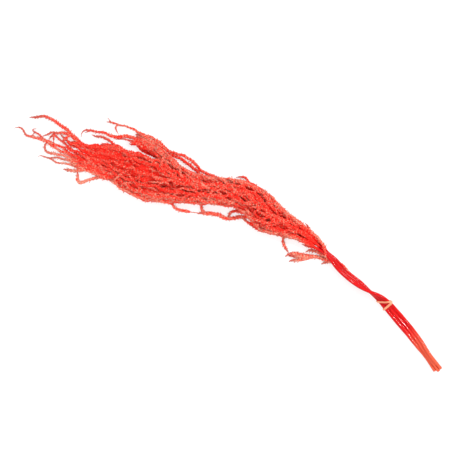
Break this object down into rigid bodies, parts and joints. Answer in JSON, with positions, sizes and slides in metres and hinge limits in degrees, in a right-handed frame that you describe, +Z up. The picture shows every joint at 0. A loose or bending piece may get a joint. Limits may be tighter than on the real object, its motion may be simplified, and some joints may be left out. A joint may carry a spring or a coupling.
{
  "type": "dried amaranth bunch",
  "caption": "Tied bunch of dried hanging amaranth lying down, with slender twisted stems and long knobbly tassel seed heads dyed coral red.",
  "frame": {"origin": "middle of the bunch's outline on the table it lies on, at the height of the table", "axes": "+X along the bunch from the tassel tips to the cut stem ends, +Y across it, +Z up from the table"},
  "size_m": [0.6966, 0.1248, 0.029],
  "materials": {
    "amaranth_deep": "dried plant, dyed deep coral red",
    "amaranth": "dried plant, dyed coral red",
    "amaranth_light": "dried plant, dyed light coral red",
    "band": "satin cream orange rubber"
  },
  "bodies": {
    "root": {"amaranth_lower": "amaranth_deep", "amaranth_middle": "amaranth", "amaranth_upper": "amaranth_light", "rubber_band": "band"}
  },
  "joints": []
}
